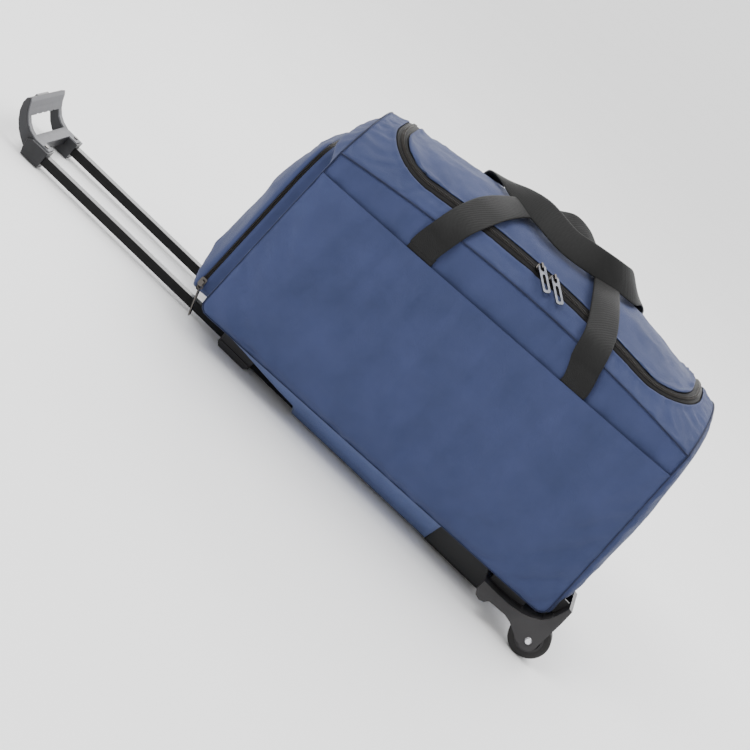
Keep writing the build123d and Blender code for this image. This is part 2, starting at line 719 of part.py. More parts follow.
SLIDER_UP = 1.9      # the slider's underside clears the coil
PULL_TURN = -45.0    # the pulls lie askew to the zip
for name, x in (("left", -12.0), ("right", 8.0)):
    with BuildPart() as main_slider:
        add(slider(on_zip(x, SLIDER_UP), on_zip(x, SLIDER_UP, PULL_TURN)))
    save(main_slider, f"{name}_main_slider")
    with BuildPart() as main_pull:
        add(pull(on_zip(x, SLIDER_UP + 3.9, PULL_TURN)))
    save(main_pull, f"{name}_main_pull")

END_TURN = 20.5
END_SLIDER_Z = 60.0
end_face = Plane(origin=(XC + ZIP_MID, -POD_Y - 1.6, END_SLIDER_Z), x_dir=(0, 0, -1),
                 z_dir=(0, -1, 0))
with BuildPart() as end_slider:
    with BuildSketch(end_face):
        RectangleRounded(12.0, 8.0, 2.4)
    extrude(amount=2.4)
    with BuildSketch(end_face.offset(2.3)):
        with Locations((4.0, 1.6)):
            Circle(0.8)
    extrude(amount=2.6)
    with BuildSketch(end_face.offset(4.8)):
        with Locations((1.2, 0.5)):
            RectangleRounded(8.0, 4.0, 1.2)
    extrude(amount=0.9)
    with BuildSketch(end_face.offset(2.3)):
        with Locations((-2.0, 0)):
            Circle(1.0)
    extrude(amount=2.6)
save(end_slider, "end_slider")

PEG = (XC + ZIP_MID + 1.6, -POD_Y - 1.6 - 3.6, END_SLIDER_Z - 4.0)
HANG = (math.sin(math.radians(END_TURN)), 0.0, -math.cos(math.radians(END_TURN)))
ring_at = Plane(origin=(PEG[0] + 1.3 * HANG[0], PEG[1], PEG[2] + 1.3 * HANG[2]), x_dir=HANG,
                z_dir=(0, -1, 0))
with BuildPart() as end_pull:
    with BuildPart(ring_at, mode=Mode.PRIVATE) as ring:
        Torus(3.1, 0.7)
    add(ring.part)
    with BuildSketch(ring_at.offset(5.0)):
        with Locations((2.9 + 17.5, 0)):
            RectangleRounded(35.0, 1.6, 0.6)
    extrude(amount=-8.2)
save(end_pull, "end_pull")
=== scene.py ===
"""Rolling duffel bag: fabric, webbing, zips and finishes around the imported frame."""
import math

import bpy
from mathutils import Matrix, Vector, noise

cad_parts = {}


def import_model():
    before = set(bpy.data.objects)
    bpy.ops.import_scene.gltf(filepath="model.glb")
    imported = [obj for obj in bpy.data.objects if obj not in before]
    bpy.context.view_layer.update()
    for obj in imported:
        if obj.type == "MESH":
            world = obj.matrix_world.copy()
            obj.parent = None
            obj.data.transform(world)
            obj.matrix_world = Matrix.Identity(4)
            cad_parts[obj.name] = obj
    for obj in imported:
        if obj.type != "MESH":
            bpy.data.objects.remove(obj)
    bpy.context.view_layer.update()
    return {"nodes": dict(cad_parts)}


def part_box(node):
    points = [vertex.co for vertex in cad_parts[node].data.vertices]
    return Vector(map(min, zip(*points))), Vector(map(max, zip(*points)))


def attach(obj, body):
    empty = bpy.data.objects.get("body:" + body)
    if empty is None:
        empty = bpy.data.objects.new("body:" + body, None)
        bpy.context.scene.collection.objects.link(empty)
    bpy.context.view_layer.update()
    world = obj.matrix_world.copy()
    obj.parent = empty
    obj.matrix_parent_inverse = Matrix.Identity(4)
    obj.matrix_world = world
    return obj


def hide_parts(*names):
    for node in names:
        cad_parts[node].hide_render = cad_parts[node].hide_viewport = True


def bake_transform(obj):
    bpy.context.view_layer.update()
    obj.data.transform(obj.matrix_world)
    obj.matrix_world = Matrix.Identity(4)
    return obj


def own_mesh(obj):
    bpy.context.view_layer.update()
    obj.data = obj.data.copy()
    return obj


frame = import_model()

# ---------------------------------------------------------------- the bag's own sizes (mm)
MM = 0.001
panel_low, panel_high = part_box("front_panel")
BAG_X = 500 * (panel_low[0] + panel_high[0]) - 3.0     # the bag's X = 0 in the frame
HALF_D = 134.0
END_H, END_W, TOP_W = -271.0, 277.0, 259.0
BASE_H, BASE_W = 39.0, 59.0
ZIP_L, ZIP_R, ZIP_F, ZIP_B = -240.0, 228.0, -104.0, 92.0
ZIP_CORNER, TAPE = 72.0, 8.0
POD_Y, POD_Z0, POD_Z1, POD_R, POD_MID_Z = 112.0, 45.0, 277.0, 58.0, 168.0
CORNER_R = 13.0
STRAP_T = 2.2


def lerp(a, b, t):
    return a + (b - a) * t


def world(p):
    """Frame position, in metres, of a point in bag millimetres."""
    return Vector(((p[0] + BAG_X) * MM, p[1] * MM, p[2] * MM))


def seam(x):
    return 325.0 + 0.047 * x - 0.00025 * x * x


def crown(x):
    return 57.0 - 0.022 * x - 0.00022 * x * x


def top_z(x, y):
    y = max(-HALF_D, min(HALF_D, y))
    rise = crown(x)
    radius = (HALF_D ** 2 + rise ** 2) / (2 * rise)
    return seam(x) + rise - radius + math.sqrt(radius * radius - y * y)


def on_top(x, y, lift=0.0):
    """Point `lift` above the crowned top, along the top's own normal."""
    slope_x = (top_z(x + 1, y) - top_z(x - 1, y)) / 2
    slope_y = (top_z(x, y + 1) - top_z(x, y - 1)) / 2
    normal = Vector((-slope_x, -slope_y, 1)).normalized()
    return Vector((x, y, top_z(x, y))) + normal * lift


def base(x):
    return BASE_H + (BASE_W - BASE_H) * (x - END_H) / (END_W - END_H)


def pocket_edge(x):
    return 264.0 + 0.05 * (x + 260)


def wheel_edge(z):
    """X of the wheel end's seams at height z: that end leans in."""
    return lerp(END_W, TOP_W, (z - BASE_W) / (319.0 - BASE_W))


def soften(x, z):
    """Round the bottom corners of a long side, and the fabric that wraps round them."""
    for edge, away, low, radius in ((wheel_edge(z), 1, base(x), CORNER_R), (END_H, -1, base(x), CORNER_R)):
        a = max(0.0, (edge - x) * away) / radius
        b = max(0.0, z - low) / radius
        if a < 1 and b < 1:
            px, pz = 1 - a, 1 - b
            pull = max(px, pz) / math.hypot(px, pz) if px + pz > 0 else 1.0
            x = edge - away * radius * (1 - px * pull)
            z = low + radius * (1 - pz * pull)
    return x, z


# ---------------------------------------------------------------- materials
def srgb(r, g, b):
    """Linear colour from 0-255 screen values."""
    return tuple(((c / 255 + 0.055) / 1.055) ** 2.4 if c > 10 else c / 255 / 12.92
                 for c in (r, g, b)) + (1.0,)


class Nodes:
    """Small helper that adds and links shader nodes."""

    def __init__(self, name, rough, metallic=0.0, sheen=0.0, coat=0.0, specular=0.5):
        self.material = bpy.data.materials.new(name)
        self.material.use_nodes = True
        self.tree = self.material.node_tree
        self.shader = self.tree.nodes["Principled BSDF"]
        self.shader.inputs["Roughness"].default_value = rough
        self.shader.inputs["Metallic"].default_value = metallic
        self.shader.inputs["Sheen Weight"].default_value = sheen
        self.shader.inputs["Coat Weight"].default_value = coat
        self.shader.inputs["Specular IOR Level"].default_value = specular
        self.place = self.add("ShaderNodeTexCoord").outputs["Object"]

    def add(self, kind, **settings):
        node = self.tree.nodes.new(kind)
        for key, value in settings.items():
            setattr(node, key, value)
        return node

    def link(self, source, target):
        self.tree.links.new(source, target)

    def math(self, operation, a, b=None):
        node = self.add("ShaderNodeMath", operation=operation)
        for socket, value in zip(node.inputs, (a, b)):
            if value is None:
                continue
            if isinstance(value, (int, float)):
                socket.default_value = value
            else:
                self.link(value, socket)
        return node.outputs[0]

    def noise(self, scale, detail=3.0, rough=0.55):
        node = self.add("ShaderNodeTexNoise")
        node.inputs["Scale"].default_value = scale
        node.inputs["Detail"].default_value = detail
        node.inputs["Roughness"].default_value = rough
        self.link(self.place, node.inputs["Vector"])
        return node.outputs["Fac"]

    def dot(self, direction):
        """Distance along a direction, in metres."""
        node = self.add("ShaderNodeVectorMath", operation="DOT_PRODUCT")
        node.inputs[1].default_value = direction
        self.link(self.place, node.inputs[0])
        return node.outputs["Value"]

    def wave(self, direction, pitch):
        return self.math("SINE", self.math("MULTIPLY", self.dot(direction), math.tau / (pitch * MM)))

    def ramp(self, factor, low, high, start=0.3, stop=0.7):
        node = self.add("ShaderNodeValToRGB")
        node.color_ramp.elements[0].position = start
        node.color_ramp.elements[1].position = stop
        node.color_ramp.elements[0].color = low
        node.color_ramp.elements[1].color = high
        self.link(factor, node.inputs[0])
        return node.outputs[0]

    def mix(self, factor, a, b):
        node = self.add("ShaderNodeMix", data_type="RGBA")
        for socket, value in ((node.inputs[0], factor), (node.inputs[6], a), (node.inputs[7], b)):
            if isinstance(value, (tuple, float)):
                socket.default_value = value
            else:
                self.link(value, socket)
        return node.outputs[2]

    def colour(self, output):
        self.link(output, self.shader.inputs["Base Color"])

    def roughness(self, factor, low, high):
        node = self.add("ShaderNodeMapRange")
        node.inputs["To Min"].default_value = low
        node.inputs["To Max"].default_value = high
        self.link(factor, node.inputs["Value"])
        self.link(node.outputs[0], self.shader.inputs["Roughness"])

    def bump(self, *layers):
        """Chain of bumps, each a height output with its depth in millimetres."""
        normal = None
        for height, depth in layers:
            node = self.add("ShaderNodeBump")
            node.inputs["Strength"].default_value = 1.0
            node.inputs["Distance"].default_value = depth * MM
            self.link(height, node.inputs["Height"])
            if normal:
                self.link(normal, node.inputs["Normal"])
            normal = node.outputs[0]
        self.link(normal, self.shader.inputs["Normal"])


def fabric(name, shade, light):
    """Plain-woven polyester with a faint sheen, mottled where it has been handled."""
    n = Nodes(name, 0.8, sheen=0.06, specular=0.22)
    weave = n.math("MULTIPLY", n.wave((1, 0.6, -0.6), 0.85), n.wave((-0.45, 0.85, 0.85), 0.85))
    mottle = n.ramp(n.noise(14.0, 4.0), shade, light, 0.32, 0.68)
    thread = n.ramp(n.math("MULTIPLY_ADD", weave, 0.5), shade, light, 0.0, 1.0)
    n.colour(n.mix(0.22, mottle, thread))
    n.roughness(n.noise(60.0), 0.68, 0.86)
    n.bump((weave, 0.05), (n.noise(420.0, 2.0), 0.06), (n.noise(38.0, 3.0), 0.5))
    return n.material


def webbing_finish(name, shade, light):
    """Ribbed nylon webbing: fine cross ribs with a lengthwise twill."""
    n = Nodes(name, 0.66, sheen=0.03, specular=0.22)
    ribs = n.wave((0.75, 0.65, 0.3), 1.5)
    twill = n.wave((0.5, -0.8, 0.55), 2.1)
    height = n.math("ADD", n.math("MULTIPLY", ribs, 0.7), n.math("MULTIPLY", twill, 0.5))
    worn = n.ramp(n.noise(30.0, 4.0), shade, light, 0.35, 0.7)
    n.colour(n.mix(0.3, worn, n.ramp(height, shade, light, -0.2, 1.0)))
    n.bump((height, 0.12), (n.noise(500.0), 0.05))
    return n.material


def tape_finish(name, shade, light):
    """Woven zip tape with cords along it."""
    n = Nodes(name, 0.7, sheen=0.02, specular=0.2)
    weave = n.math("MULTIPLY", n.wave((1, 0.5, 0.5), 0.7), n.wave((-0.5, 1, 0.4), 0.7))
    n.colour(n.ramp(n.noise(90.0, 3.0), shade, light, 0.3, 0.75))
    n.bump((weave, 0.05), (n.noise(600.0), 0.05))
    return n.material


def moulding(name, shade, light, rough=0.45, grain=0.035, wear=(0.54, 0.62)):
    """Spark-eroded plastic: fine grain, a little lighter and smoother along worn edges."""
    n = Nodes(name, rough, specular=0.3)
    edge = n.ramp(n.add("ShaderNodeNewGeometry").outputs["Pointiness"],
                  (0, 0, 0, 1), (1, 1, 1, 1), *wear)
    body = n.ramp(n.noise(45.0, 5.0), shade, light, 0.3, 0.75)
    worn = tuple(min(1.0, c * 1.55) for c in light[:3]) + (1.0,)
    n.colour(n.mix(edge, body, worn))
    n.roughness(n.noise(160.0), rough - 0.07, rough + 0.1)
    n.bump((n.noise(1400.0, 2.0), grain), (n.noise(30.0), 0.12))
    return n.material


def metal(name, shade, light, rough=0.28, brushed=(1, 0, 0), grain=0.012):
    """Brushed or tumbled metal with fine lines along one direction."""
    n = Nodes(name, rough, metallic=1.0)
    stretch = n.add("ShaderNodeMapping")
    stretch.inputs["Scale"].default_value = tuple(1.0 if c else 60.0 for c in brushed)
    n.link(n.place, stretch.inputs["Vector"])
    lines = n.add("ShaderNodeTexNoise")
    lines.inputs["Scale"].default_value = 60.0
    n.link(stretch.outputs[0], lines.inputs["Vector"])
    n.colour(n.ramp(lines.outputs["Fac"], shade, light, 0.3, 0.7))
    n.roughness(lines.outputs["Fac"], rough - 0.06, rough + 0.1)
    n.bump((lines.outputs["Fac"], grain))
    return n.material


def anodised(name, shade, light, rough):
    """Black anodised aluminium: dark face on, bright where it is seen at a shallow angle."""
    n = Nodes(name, 0.5, coat=1.0, specular=0.05)
    n.shader.inputs["Coat IOR"].default_value = 1.17
    n.shader.inputs["Coat Roughness"].default_value = rough
    n.colour(n.ramp(n.noise(80.0, 4.0), shade, light, 0.3, 0.7))
    n.roughness(n.noise(220.0), 0.42, 0.6)
    n.bump((n.noise(700.0, 2.0), 0.006))
    return n.material


def tread_rubber(name, shade, light):
    n = Nodes(name, 0.6, specular=0.35)
    dust = n.ramp(n.noise(70.0, 6.0, 0.65), shade, light, 0.35, 0.8)
    n.colour(dust)
    n.roughness(n.noise(110.0, 4.0), 0.5, 0.75)
    n.bump((n.noise(900.0), 0.05), (n.noise(130.0, 4.0), 0.12))
    return n.material


BLUE = fabric("side fabric", srgb(44, 53, 84), srgb(52, 61, 95))
BLUE_TOP = fabric("top fabric", srgb(44, 53, 84), srgb(52, 61, 95))
# Same blue fabric as the sides, coloured lighter: painted light standing in for floor bounce on the base
# and the rail sleeve.
BLUE_BOUNCE_LIT = fabric("base fabric with painted bounce light", srgb(62, 75, 113), srgb(72, 86, 127))
BINDING = fabric("seam binding", srgb(17, 23, 46), srgb(24, 31, 58))
WEBBING = webbing_finish("webbing", srgb(12, 12, 12), srgb(19, 19, 19))
ZIP_TAPE = tape_finish("zip tape", srgb(10, 9, 9), srgb(17, 15, 15))
COIL = moulding("zip coil", srgb(22, 20, 19), srgb(34, 31, 28), 0.4)
PLASTIC = moulding("bracket plastic", srgb(24, 23, 24), srgb(33, 32, 33))
GRIP = moulding("grip plastic", srgb(20, 20, 22), srgb(33, 33, 35), 0.42)
GRIP_PAD = moulding("grip pad", srgb(60, 60, 63), srgb(80, 80, 83), 0.55, 0.05)
BUTTON = moulding("button plastic", srgb(16, 16, 17), srgb(24, 24, 25), 0.35)
BOARD = moulding("base board plastic", srgb(40, 40, 42), srgb(52, 52, 54), 0.6, 0.06)
TYRE = tread_rubber("tyre rubber", srgb(17, 16, 16), srgb(27, 25, 25))
HUB = moulding("hub plastic", srgb(22, 21, 22), srgb(31, 30, 31), 0.4)
INNER_RAIL = anodised("inner rail", (0.0035, 0.0035, 0.0036, 1), (0.006, 0.006, 0.0062, 1), 0.12)
OUTER_RAIL = anodised("outer rail", (0.003, 0.003, 0.0031, 1), (0.005, 0.005, 0.0052, 1), 0.2)
STEEL = metal("fastener steel", (0.5, 0.5, 0.52, 1), (0.72, 0.72, 0.74, 1), 0.25, (0, 0, 1))
PULL = metal("pull metal", (0.05, 0.052, 0.062, 1), (0.16, 0.165, 0.185, 1), 0.3, (1, 1, 0))
SLIDER = metal("slider metal", (0.05, 0.046, 0.045, 1), (0.12, 0.11, 0.1, 1), 0.32, (0, 1, 0))

CAD_FINISH = {
    "base_board": BOARD, "feet": PLASTIC, "wheel_axles": STEEL, "wheel_washers": STEEL,
    "base_screws": STEEL, "bracket_rivets": STEEL, "grip_body": GRIP, "grip_face": GRIP_PAD,
    "release_button": BUTTON, "push_rods": STEEL, "lock_blocks": BUTTON, "lock_pins": STEEL,
    "lock_springs": STEEL, "grip_screws": SLIDER, "left_main_slider": SLIDER,
    "right_main_slider": SLIDER, "end_slider": SLIDER, "left_main_pull": PULL,
    "right_main_pull": PULL, "end_pull": SLIDER,
}
for side_name in ("front", "rear"):
    CAD_FINISH[side_name + "_outer_tube"] = OUTER_RAIL
    CAD_FINISH[side_name + "_inner_tube"] = INNER_RAIL
    CAD_FINISH[side_name + "_mouth_collar"] = PLASTIC
    CAD_FINISH[side_name + "_rail_socket"] = BUTTON
    CAD_FINISH[side_name + "_wheel_bracket"] = PLASTIC
    CAD_FINISH[side_name + "_tyre"] = TYRE
    CAD_FINISH[side_name + "_hub"] = HUB
for node_name, finish in CAD_FINISH.items():
    mesh = frame["nodes"][node_name].data
    mesh.materials.clear()
    mesh.materials.append(finish)


# ---------------------------------------------------------------- mesh helpers
CENTRE = world((0, 0, 190))


def add_mesh(name, points, faces, finish, body, smooth=True, outward=True):
    """Mesh object from points in bag millimetres, riding on a body."""
    data = bpy.data.meshes.new(name)
    data.from_pydata([world(p) for p in points], [], faces)
    data.validate()
    if outward:
        turned = sum(f.normal.dot(f.center - CENTRE) * f.area for f in data.polygons)
        if turned < 0:
            data.flip_normals()
    data.materials.append(finish)
    for face in data.polygons:
        face.use_smooth = smooth
    piece = bpy.data.objects.new(name, data)
    bpy.context.scene.collection.objects.link(piece)
    if body:
        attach(piece, body)
    return piece


def quads(rows, across, closed=False):
    """Faces of a grid of rows, each `across` points long."""
    span = across if closed else across - 1
    return [(r * across + c, r * across + (c + 1) % across,
             (r + 1) * across + (c + 1) % across, (r + 1) * across + c)
            for r in range(rows - 1) for c in range(span)]


def apply_modifiers(piece):
    graph = bpy.context.evaluated_depsgraph_get()
    made = bpy.data.meshes.new_from_object(piece.evaluated_get(graph))
    piece.modifiers.clear()
    old, piece.data = piece.data, made
    made.name = old.name
    bpy.data.meshes.remove(old)


def thicken(piece, thick=1.1, offset=-1.0):
    """Give a sheet its cloth thickness, inward from the face that was modelled."""
    solid = piece.modifiers.new("thickness", "SOLIDIFY")
    solid.thickness = thick * MM
    solid.offset = offset
    apply_modifiers(piece)
    for face in piece.data.polygons:
        face.use_smooth = True


def relax(piece, held, slack=0.02, pressure=0.5, cap=6.0, frames=16):
    """Let a fabric sheet, held at its seams, settle as cloth, no point moving over `cap` mm."""
    scene = bpy.context.scene
    group = piece.vertex_groups.new(name="held")
    for index, weight in enumerate(held):
        if weight > 0:
            group.add([index], weight, "REPLACE")
    cloth = piece.modifiers.new("settle", "CLOTH")
    settings = cloth.settings
    settings.quality = 5
    settings.mass = 0.25
    settings.tension_stiffness = 25
    settings.compression_stiffness = 25
    settings.shear_stiffness = 12
    settings.bending_stiffness = 3.0
    settings.vertex_group_mass = "held"
    settings.shrink_min = -slack
    settings.use_pressure = True
    settings.uniform_pressure_force = pressure
    settings.effector_weights.gravity = 0.35
    cloth.collision_settings.use_collision = False
    cloth.point_cache.frame_start = 1
    cloth.point_cache.frame_end = frames
    for step in range(1, frames + 1):
        scene.frame_set(step)
    graph = bpy.context.evaluated_depsgraph_get()
    settled = [v.co.copy() for v in piece.evaluated_get(graph).data.vertices]
    piece.modifiers.clear()
    piece.vertex_groups.clear()
    for vertex, target in zip(piece.data.vertices, settled):
        move = target - vertex.co
        if move.length > cap * MM:
            move *= cap * MM / move.length
        vertex.co = vertex.co + move
    scene.frame_set(1)


def stops(length, step=6.0, fine=(0.0, 1.2, 2.4, 4.0, 6.5, 10.0)):
    """Distances along an edge, close together near both ends."""
    count = max(2, round((length - 2 * fine[-1]) / step))
    middle = [lerp(fine[-1], length - fine[-1], i / count) for i in range(count + 1)]
    return list(fine[:-1]) + middle + [length - f for f in reversed(fine[:-1])]


def groove(distance):
    """How far fabric turns in, in mm, beside a seam; the seam line itself stays put."""
    return 1.9 * math.exp(-(distance / 1.8) ** 2) if distance > 0.6 else 0.0


def pucker(distance, along, seed):
    """Small gathers that run away from a seam."""
    wave = noise.noise(Vector((along * 0.055, distance * 0.012, seed)))
    return 3.4 * wave * math.exp(-distance / 30.0) * (1 - math.exp(-distance / 5.0))


def crease(x, z, seed, size=1.4):
    """Soft hollows and crest lines of handled fabric."""
    low = noise.noise(Vector((x * 0.011, z * 0.017, seed)))
    fold = noise.noise(Vector((x * 0.021 + z * 0.013, z * 0.017 - x * 0.012, seed + 4.0)))
    fine = noise.noise(Vector((x * 0.047 - z * 0.03, z * 0.052 + x * 0.02, seed + 9.0)))
    crest = max(0.0, 1 - abs(fold) * 4.5) ** 2 * max(0.0, 0.35 + low)
    return size * (0.8 * low + 0.75 * crest + 0.3 * fine)


def press(piece, relief):
    """Move each point along its own normal by its relief in mm."""
    data = piece.data
    normals = [v.normal.copy() for v in data.vertices]
    for vertex, normal, depth in zip(data.vertices, normals, relief):
        vertex.co = vertex.co + normal * depth * MM


def panel(name, place, width, height, finish, body, seed, seams="lrbt", cap=6.0,
          pressure=0.5, slack=0.02, size=1.4, thick=1.1, step=5.0):
    """Fabric panel: a grid held at its seams, settled as cloth, then given its relief."""
    across, up = stops(width, step), stops(height, step)
    points, held, relief = [], [], []
    for b in up:
        for a in across:
            points.append(place(a / width, b / height))
            gaps = {"l": a, "r": width - a, "b": b, "t": height - b}
            near = min(gaps[s] for s in seams)
            edge = min(gaps.values())
            along = a if near in (gaps["b"], gaps["t"]) else b
            held.append(1.0 if edge < 2.0 else max(0.0, 0.8 - edge / 12))
            relief.append(pucker(near, along, seed) - groove(near)
                          + crease(a, b, seed, size) * min(1.0, edge / 30))
    piece = add_mesh(name, points, quads(len(up), len(across)), finish, body)
    relax(piece, held, slack, pressure, cap)
    press(piece, relief)
    thicken(piece, thick)
    return piece


def tube(name, route, radius, finish, body, closed=False, sides=8):
    """Round cord along a route of points in bag millimetres."""
    rings = []
    count = len(route)
    for i, p in enumerate(route):
        before = Vector(route[(i - 1) % count] if closed else route[max(0, i - 1)])
        after = Vector(route[(i + 1) % count] if closed else route[min(count - 1, i + 1)])
        along = (after - before).normalized()
        across = along.cross(Vector((0.31, 0.52, 0.8))).normalized()
        up = across.cross(along)
        for k in range(sides):
            angle = math.tau * k / sides
            rings.append(Vector(p) + (across * math.cos(angle) + up * math.sin(angle)) * radius)
    faces = quads(count, sides, closed=True)
    if closed:
        last = (count - 1) * sides
        faces += [(last + k, last + (k + 1) % sides, (k + 1) % sides, k) for k in range(sides)]
    else:
        faces += [tuple(range(sides - 1, -1, -1)), tuple(range((count - 1) * sides, count * sides))]
    return add_mesh(name, rings, faces, finish, body, outward=False)


# ---------------------------------------------------------------- the shell's panels
def swell(s, t, depth, power=0.6):
    """Fullness of a packed panel, none at its seams."""
    return depth * max(0.0, math.sin(math.pi * s) * math.sin(math.pi * t)) ** power


def long_side(sign, depth=4.5, high=None):
    """Placing function of a long side, up to the top seam or to another edge."""
    def place(s, t):
        z_mid = lerp(50, 320, t)
        x = lerp(END_H, wheel_edge(z_mid), s)
        top = high(x) if high else seam(x)
        z = lerp(base(x), top, t)
        x, z = soften(lerp(END_H, wheel_edge(z), s), z)
        return (x, sign * (HALF_D + swell(s, t, depth)), z)
    return place


front = panel("front_fabric", long_side(-1, 1.0), 540, 282, BLUE, "bag", 1.0, cap=0.8, size=1.5)
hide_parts("front_panel")
rear = panel("rear_fabric", long_side(1, 5.0), 540, 282, BLUE, "bag", 7.0)
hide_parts("rear_panel")


def pocket_place(s, t):
    x, y, z = long_side(-1, 4.0, pocket_edge)(s, t)
    stand = 1.3 + 4.6 * min(1.0, t * 2.2) ** 0.7 * min(1.0, 9 * s, 9 * (1 - s)) ** 0.6
    return (x, y - stand, z)


pocket = panel("front_pocket_fabric", pocket_place, 540, 228, BLUE, "bag", 3.0, seams="lrb",
               cap=3.5, slack=0.015, pressure=0.35, thick=1.4, size=3.4)
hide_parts("front_pocket")


def cradle(z):
    """How far out the wheel brackets let the fabric go at a height."""
    stations = [(40, 276.5), (57, 276.8), (67, 283), (80, 287.3), (88, 289.6), (96, 294)]
    for (z0, x0), (z1, x1) in zip(stations, stations[1:]):
        if z <= z1:
            return lerp(x0, x1, max(0.0, (z - z0) / (z1 - z0)))
    return stations[-1][1]


def end_place(x_at, sign, bulge):
    """Placing function of an end panel, closed above by the arch of the top."""
    def place(s, t):
        y = lerp(-HALF_D, HALF_D, s)
        x_low = x_at(BASE_H if sign < 0 else BASE_W)
        z = lerp(base(x_low), top_z(x_at(300.0), y), t)
        x, z = soften(x_at(z), z)
        shoulder = 15.0 * math.exp(-((z - 303) / 26) ** 2) * (1 - s ** 8) if sign < 0 else 0.0
        out = x + sign * (swell(s, t, bulge, 0.4) + shoulder * min(1.0, 12 * s, 14 * (1 - t)))
        if sign > 0 and z < 96:
            out = min(out, cradle(z))
        return (out, y, z)
    return place


handle_end = panel("handle_end_fabric", end_place(lambda z: END_H, -1, 1.6), 268, 300, BLUE,
                   "bag", 11.0, cap=1.0, size=0.4)
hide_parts("handle_end_panel")
wheel_end = panel("wheel_end_fabric", end_place(wheel_edge, 1, 25.0), 268, 290, BLUE,
                  "bag", 13.0, cap=0.6, size=0.9)
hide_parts("wheel_end_panel")


def base_place(s, t):
    x = lerp(END_H, END_W, s)
    y = lerp(-HALF_D, HALF_D, t)
    away = HALF_D - abs(y)
    sag = 5.0 * math.sin(math.pi * min(1.0, away / 54)) * min(1.0, max(0.0, (200 - x) / 30))
    bent_x, z = soften(x, base(x))
    return (bent_x, y, z - sag * min(1.0, (x - END_H) / 20))


# The base takes the lighter blue, with painted floor-bounce light in its colour.
underside = panel("base_fabric", base_place, 548, 268, BLUE_BOUNCE_LIT, "bag", 17.0, cap=0.3,
                  pressure=0.0, slack=0.0, size=0.2)
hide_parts("base_panel")


# ---------------------------------------------------------------- zips
def zip_path(step=4.0):
    """The main zip's centre line in plan: points with their outward directions."""
    path = []
    for x, sense in ((ZIP_L, -1), (ZIP_R, 1)):
        leg = []
        length = ZIP_B - (ZIP_F + ZIP_CORNER)
        for i in range(round(length / step)):
            leg.append(((x, ZIP_B - length * i * step / length), (sense, 0)))
        centre = (x - sense * ZIP_CORNER, ZIP_F + ZIP_CORNER)
        turns = round(math.pi / 2 * ZIP_CORNER / step)
        for i in range(turns + 1):
            angle = math.pi / 2 * i / turns
            out = (sense * math.cos(angle), -math.sin(angle))
            leg.append(((centre[0] + out[0] * ZIP_CORNER, centre[1] + out[1] * ZIP_CORNER), out))
        path.append(leg)
    left, right = path
    run = right[-1][0][0] - left[-1][0][0]
    count = round(run / step)
    middle = [((left[-1][0][0] + run * i / count, ZIP_F), (0, -1)) for i in range(1, count)]
    return left + middle + right[::-1]


ZIP_PATH = zip_path()


def beside(offset, lift):
    """Main zip's line moved outward in plan by `offset`, `lift` above the fabric."""
    return [on_top(p[0] + n[0] * offset, p[1] + n[1] * offset, lift) for p, n in ZIP_PATH]


# offset from the zip's centre and height: coil ridge, two cords and the flat tape
TAPE_PROFILE = [(0.35, -1.6), (0.35, 0.2), (0.9, 0.7), (2.0, 0.7), (2.6, 0.0), (3.1, -0.3),
                (3.5, 0.1), (4.2, 0.1), (4.6, -0.4), (5.1, -0.1), (5.7, -0.1), (6.1, -0.7),
                (9.2, -1.5)]


def flat_tape(name, strip, body, node):
    """Zip tape from its long lines, each a list of points."""
    points = [p for line in strip for p in line]
    piece = add_mesh(name, points, quads(len(strip), len(strip[0])), ZIP_TAPE, body)
    thicken(piece, 0.7)
    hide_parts(node)
    return piece


def coil_teeth(name, lines, body, size=(1.9, 0.75, 0.9), pitch=1.9, shift=0.0):
    """Zip teeth: one small rounded block per pitch along the line between two edges."""
    inner, outer = lines
    points, faces = [], []
    length = 0.0
    due = shift
    for a, b, c in zip(inner, inner[1:], outer):
        span = (b - a).length
        along = (b - a) / span
        across = (c - a).normalized()
        up = across.cross(along).normalized()
        if up.dot(a - Vector((0, 0, 190))) < 0:
            up = -up
        while due < length + span:
            at = a + along * (due - length)
            first = len(points)
            for h, grow in ((-0.5, 1.0), (0.55, 1.0), (1.0, 0.55)):
                for i, j in ((0, -1), (1, -1), (1, 1), (0, 1)):
                    reach = size[0] * (i if grow == 1.0 else 0.2 + 0.6 * i)
                    points.append(at + across * reach + along * j * size[1] / 2 * grow
                                  + up * h * size[2])
            for level in (0, 4):
                for k in range(4):
                    n = (k + 1) % 4
                    faces.append((first + level + k, first + level + n,
                                  first + level + 4 + n, first + level + 4 + k))
            faces.append(tuple(first + 8 + k for k in range(4)))
            faces.append(tuple(first + k for k in (3, 2, 1, 0)))
            due += pitch
        length += span
    piece = add_mesh(name, points, faces, COIL, body, smooth=False)
    return piece


for tape_name, sense, body, node in (("main_zip_body_tape", 1, "bag", "main_zip_fixed_tape"),
                                     ("main_zip_lid_side_tape", -1, "lid", "main_zip_lid_tape")):
    flat_tape(tape_name, [beside(sense * a, b) for a, b in TAPE_PROFILE], body, node)
    coil_teeth(tape_name + "_teeth", (beside(sense * 0.15, 0.75), beside(sense * 2.3, 0.75)), body,
               shift=0.95 if sense > 0 else 0.0)


# ---------------------------------------------------------------- top and lid
def ray_to_box(angle, centre):
    """Where a ray from the centre meets the top's outline in plan."""
    c, s = math.cos(angle), math.sin(angle)
    reach = []
    if abs(c) > 1e-6:
        reach.append(((TOP_W if c > 0 else END_H) - centre[0]) / c)
    if abs(s) > 1e-6:
        reach.append(((HALF_D if s > 0 else -HALF_D) - centre[1]) / s)
    return min(reach)


def opening(grow):
    """Closed outline in plan of the lid's opening, grown outward by `grow`."""
    outline = [(p[0] + n[0] * grow, p[1] + n[1] * grow) for p, n in ZIP_PATH]
    first, last = outline[0], outline[-1]
    count = 90
    back = [(lerp(last[0], first[0], i / count), ZIP_B) for i in range(1, count)]
    return outline + back


